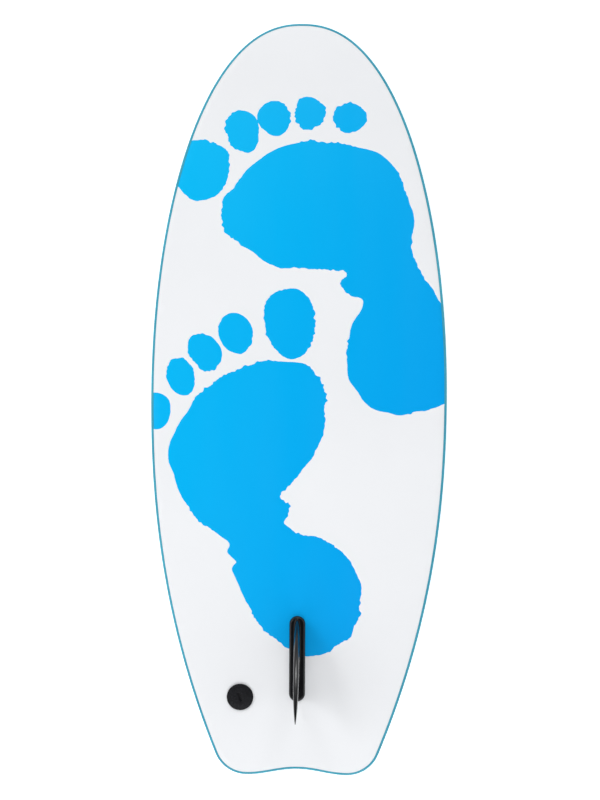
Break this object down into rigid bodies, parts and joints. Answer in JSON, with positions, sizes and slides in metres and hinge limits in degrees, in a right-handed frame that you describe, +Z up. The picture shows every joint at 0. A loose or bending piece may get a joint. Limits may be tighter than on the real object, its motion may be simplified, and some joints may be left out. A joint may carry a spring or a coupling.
{
  "type": "surfboard",
  "caption": "Short soft-top surfboard with a white slick bottom, blue footprints, a raked black fin and a leash plug.",
  "frame": {"origin": "on the floor, below the middle of the board's length and width, with the board lying deck down and its fin up", "axes": "+Y along the board to the nose, +Z up out of the bottom, +X to the right when the bottom is seen from above with the nose ahead"},
  "size_m": [0.444, 1.14, 0.1561],
  "materials": {
    "slick_white": "smooth slick HDPE sheet with a satin sheen",
    "print_blue": "cyan ink under the slick sheet",
    "deck_foam": "closed-cell foam skin with a fine pebble texture",
    "sheet_foam": "closed-cell foam sheet",
    "eps_foam": "bead foam",
    "stringer_wood": "bare plywood",
    "fin_black": "glossy moulded nylon",
    "plug_black": "satin moulded plastic",
    "brass": "turned",
    "stainless": "turned stainless steel"
  },
  "bodies": {
    "root": {"core_left": "eps_foam", "core_centre": "eps_foam", "core_right": "eps_foam", "stringer_left": "stringer_wood", "stringer_right": "stringer_wood", "deck_skin": "deck_foam", "bottom_foam": "sheet_foam", "bottom_slick": "slick_white", "fin": "fin_black", "front_fin_insert": "brass", "rear_fin_insert": "brass", "front_fin_sleeve": "plug_black", "rear_fin_sleeve": "plug_black", "front_fin_washer": "stainless", "rear_fin_washer": "stainless", "front_fin_screw": "stainless", "rear_fin_screw": "stainless", "leash_cap": "plug_black", "leash_cup": "plug_black", "leash_bar": "stainless"}
  },
  "joints": []
}
